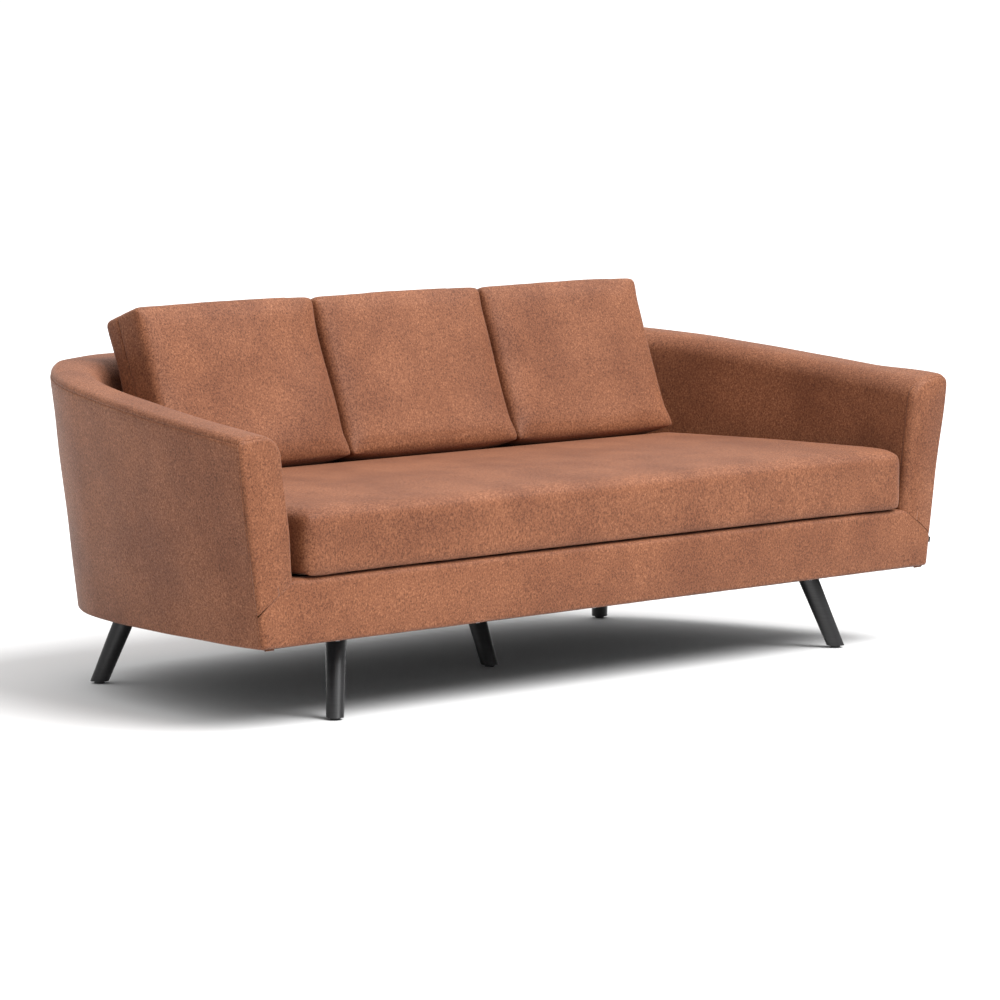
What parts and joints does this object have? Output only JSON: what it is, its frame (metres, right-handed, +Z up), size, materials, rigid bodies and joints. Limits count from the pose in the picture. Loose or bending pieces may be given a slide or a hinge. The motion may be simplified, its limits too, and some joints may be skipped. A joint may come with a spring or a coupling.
{
  "type": "sofa",
  "caption": "Upholstered tub sofa with flared wrap-around arms, loose bench seat and back cushions, and splayed round tapered legs.",
  "frame": {"origin": "on the floor under the middle of the sofa: centre of the overall width and depth", "axes": "+X to the right of someone sitting facing the viewer, along the seat; +Y to the back; +Z up. The front faces -Y"},
  "size_m": [2.1176, 0.9544, 0.7858],
  "materials": {
    "upholstery": "matte",
    "leg_wood": "satin",
    "glide_plastic": "matte",
    "frame_timber": "matte",
    "frame_board": "matte",
    "steel": "satin",
    "brass": "satin",
    "webbing": "matte",
    "lining_cloth": "matte",
    "foam": "matte"
  },
  "bodies": {
    "sofa_frame": {"front_rail": "frame_timber", "back_rail": "frame_timber", "side_rail_left": "frame_timber", "side_rail_right": "frame_timber", "spring_rail": "frame_timber", "stretcher_left": "frame_timber", "stretcher_right": "frame_timber", "stretcher_centre": "frame_timber", "front_post_left": "frame_timber", "front_post_right": "frame_timber", "arm_posts": "frame_timber", "back_posts": "frame_timber", "arm_top_rail_left": "frame_timber", "arm_top_rail_right": "frame_timber", "back_top_rail": "frame_timber", "side_board_left": "frame_board", "side_board_right": "frame_board", "back_board": "frame_board", "seat_springs": "steel", "spring_clips": "steel", "back_webbing": "webbing", "seat_deck": "lining_cloth", "arm_foam_left": "foam", "arm_foam_right": "foam", "back_foam": "foam", "front_foam": "foam", "outside_arm_left": "upholstery", "outside_arm_right": "upholstery", "outside_back": "upholstery", "inside_arm_left": "upholstery", "inside_arm_right": "upholstery", "inside_back": "upholstery", "arm_front_left": "upholstery", "arm_front_right": "upholstery", "front_border": "upholstery", "dust_cover": "lining_cloth", "side_tab": "lining_cloth", "leg_front_left": "leg_wood", "leg_front_right": "leg_wood", "leg_back_left": "leg_wood", "leg_back_right": "leg_wood", "leg_centre": "leg_wood", "leg_plates": "steel", "plate_screws": "steel", "hanger_bolts": "steel", "leg_inserts": "brass"},
    "seat_cushion": {"seat_cushion_cover": "upholstery", "seat_cushion_core": "foam"},
    "back_cushion_left": {"back_cushion_cover_left": "upholstery", "back_cushion_core_left": "foam"},
    "back_cushion_centre": {"back_cushion_cover_centre": "upholstery", "back_cushion_core_centre": "foam"},
    "back_cushion_right": {"back_cushion_cover_right": "upholstery", "back_cushion_core_right": "foam"},
    "glide_front_left_foot": {"glide_front_left": "glide_plastic"},
    "glide_front_right_foot": {"glide_front_right": "glide_plastic"},
    "glide_back_left_foot": {"glide_back_left": "glide_plastic"},
    "glide_back_right_foot": {"glide_back_right": "glide_plastic"},
    "glide_centre_foot": {"glide_centre": "glide_plastic"}
  },
  "joints": [
    {"name": "seat_cushion_slide", "type": "slide", "parent": "sofa_frame", "child": "seat_cushion", "axis": [0, -1, 0], "range_m": [0, 0.75]},
    {"name": "back_cushion_left_lift", "type": "slide", "parent": "sofa_frame", "child": "back_cushion_left", "axis": [0, 0, 1], "range_m": [0, 0.36]},
    {"name": "back_cushion_centre_lift", "type": "slide", "parent": "sofa_frame", "child": "back_cushion_centre", "axis": [0, 0, 1], "range_m": [0, 0.36]},
    {"name": "back_cushion_right_lift", "type": "slide", "parent": "sofa_frame", "child": "back_cushion_right", "axis": [0, 0, 1], "range_m": [0, 0.36]},
    {"name": "glide_front_left_level", "type": "slide", "parent": "sofa_frame", "child": "glide_front_left_foot", "axis": [0, 0, -1], "range_m": [0, 0.008]},
    {"name": "glide_front_right_level", "type": "slide", "parent": "sofa_frame", "child": "glide_front_right_foot", "axis": [0, 0, -1], "range_m": [0, 0.008]},
    {"name": "glide_back_left_level", "type": "slide", "parent": "sofa_frame", "child": "glide_back_left_foot", "axis": [0, 0, -1], "range_m": [0, 0.008]},
    {"name": "glide_back_right_level", "type": "slide", "parent": "sofa_frame", "child": "glide_back_right_foot", "axis": [0, 0, -1], "range_m": [0, 0.008]},
    {"name": "glide_centre_level", "type": "slide", "parent": "sofa_frame", "child": "glide_centre_foot", "axis": [0, 0, -1], "range_m": [0, 0.008]}
  ]
}
